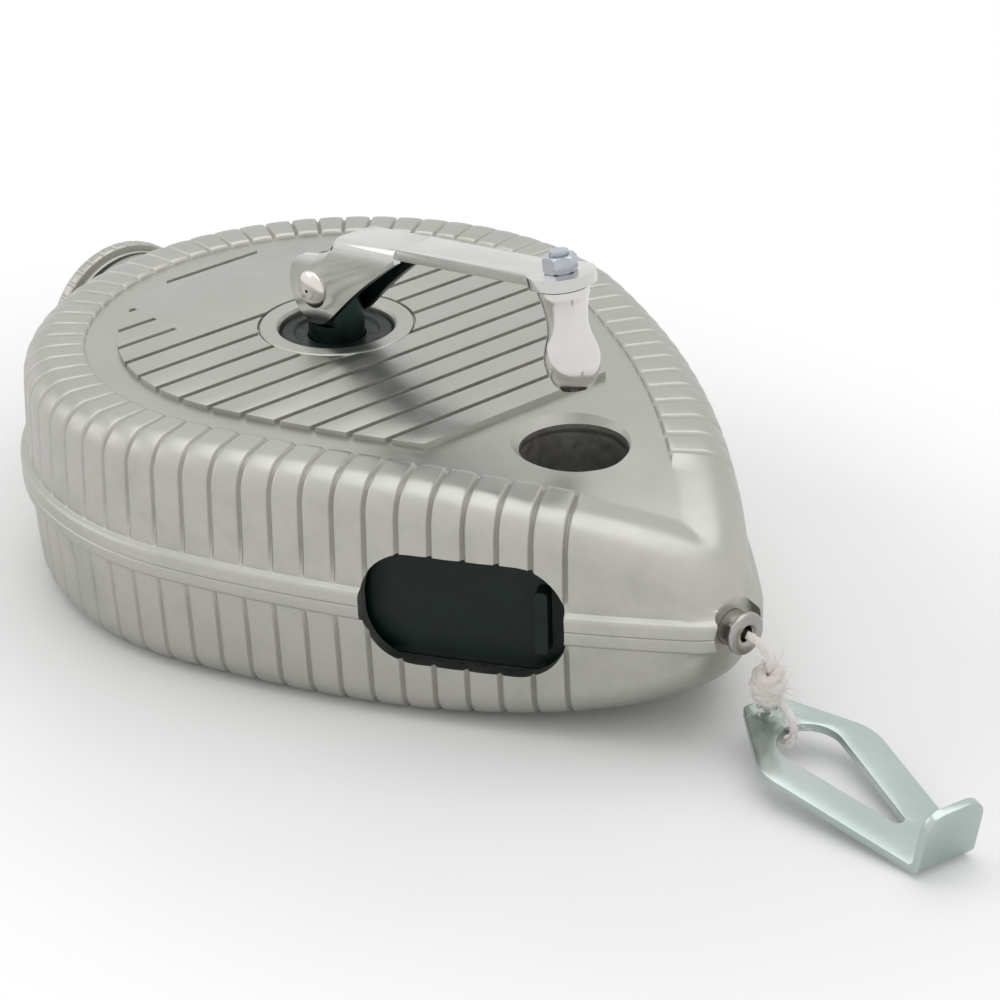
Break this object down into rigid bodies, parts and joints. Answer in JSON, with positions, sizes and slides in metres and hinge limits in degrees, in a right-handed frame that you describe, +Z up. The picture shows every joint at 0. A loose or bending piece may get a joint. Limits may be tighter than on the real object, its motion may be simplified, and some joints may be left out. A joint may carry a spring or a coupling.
{
  "type": "chalk line reel",
  "caption": "Hand-cranked chalk line reel: ribbed cast teardrop case with folding crank, sliding chalk door, filler plug, string and flat hook.",
  "frame": {"origin": "on the hub axis, where it meets the flat underside that the case rests on", "axes": "+X from the hub to the nose where the string comes out, +Z up along the hub axis, the chalk door on the -Y side"},
  "size_m": [0.1763, 0.092, 0.0593],
  "materials": {
    "cast_aluminium": "die cast, tumbled to a soft polish",
    "turned_aluminium": "turned and polished",
    "zinc_steel": "bright zinc plate on stamped steel",
    "bright_steel": "plain bright steel",
    "dark_plastic": "moulded, dark green-black, satin",
    "seal_rubber": "moulded rubber",
    "string": "twisted cotton",
    "felt": "pressed felt"
  },
  "bodies": {
    "case": {"top_shell": "cast_aluminium", "bottom_shell": "cast_aluminium", "case_screws": "zinc_steel", "hub_bush": "dark_plastic", "door_rails": "zinc_steel", "line_eyelet": "bright_steel", "felt_wiper": "felt", "line_run": "string"},
    "reel": {"spindle": "zinc_steel", "drive_pin": "zinc_steel", "spool_core": "dark_plastic", "upper_flange": "dark_plastic", "lower_flange": "dark_plastic", "wound_line": "string", "lower_washer": "zinc_steel", "upper_washer": "zinc_steel"},
    "crank": {"crank_arm": "zinc_steel", "fold_pin": "bright_steel", "knob_screw": "zinc_steel", "knob_nut": "zinc_steel", "knob_washer": "zinc_steel"},
    "knob": {"crank_knob": "turned_aluminium"},
    "door": {"chalk_door": "dark_plastic"},
    "plug": {"filler_plug": "cast_aluminium", "plug_seal": "seal_rubber"},
    "hook": {"line_tail": "string", "line_knot": "string", "line_hook": "zinc_steel"}
  },
  "joints": [
    {"name": "reel_turn", "type": "hinge", "parent": "case", "child": "reel", "pos_m": [0, 0, 0.034], "axis": [0, 0, 1], "continuous": true},
    {"name": "crank_fold", "type": "hinge", "parent": "reel", "child": "crank", "pos_m": [0, 0, 0.0404], "axis": [0, -1, 0], "range_deg": [-18, 100]},
    {"name": "knob_spin", "type": "hinge", "parent": "crank", "child": "knob", "pos_m": [0.04843, 0, 0.05425], "axis": [-0.1564, 0, 0.9877], "continuous": true},
    {"name": "door_slide", "type": "hinge", "parent": "case", "child": "door", "pos_m": [-0.05498, 0.14919, 0.017], "axis": [0, 0, -1], "range_deg": [0, 6.2]},
    {"name": "plug_pull", "type": "slide", "parent": "case", "child": "plug", "axis": [-1, 0, 0], "range_m": [0, 0.0105]},
    {"name": "hook_swing", "type": "hinge", "parent": "case", "child": "hook", "pos_m": [0.0822, 0, 0.017], "axis": [0, 0, 1], "range_deg": [-40, 40]}
  ]
}
